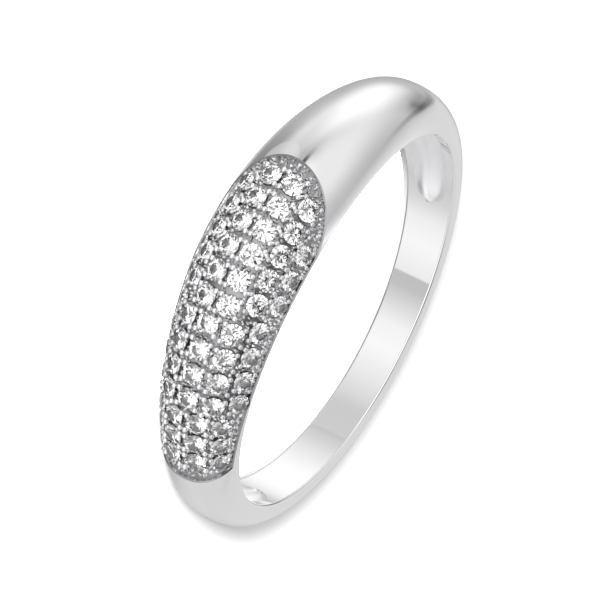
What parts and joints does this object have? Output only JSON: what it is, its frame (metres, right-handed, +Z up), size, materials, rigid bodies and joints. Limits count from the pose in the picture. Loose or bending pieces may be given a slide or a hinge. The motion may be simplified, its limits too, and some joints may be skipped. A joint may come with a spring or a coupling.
{
  "type": "dome ring with pave-set cubic zirconia",
  "caption": "Tapered dome finger ring in polished white metal, one half of its head set with a field of small round clear stones between raised grains, with a hollowed underside.",
  "frame": {"origin": "on the surface it lies on, under the middle of its box", "axes": "+Z is up, from the rim it lies on to the other one; the broad head points along -Y and the narrow back along +Y; the set half of the head is towards +X"},
  "size_m": [0.0204, 0.0202, 0.005],
  "materials": {
    "white_metal": "polished",
    "clear_stone": "gloss"
  },
  "bodies": {
    "root": {"ring_band": "white_metal", "pave_stones": "clear_stone"}
  },
  "joints": []
}
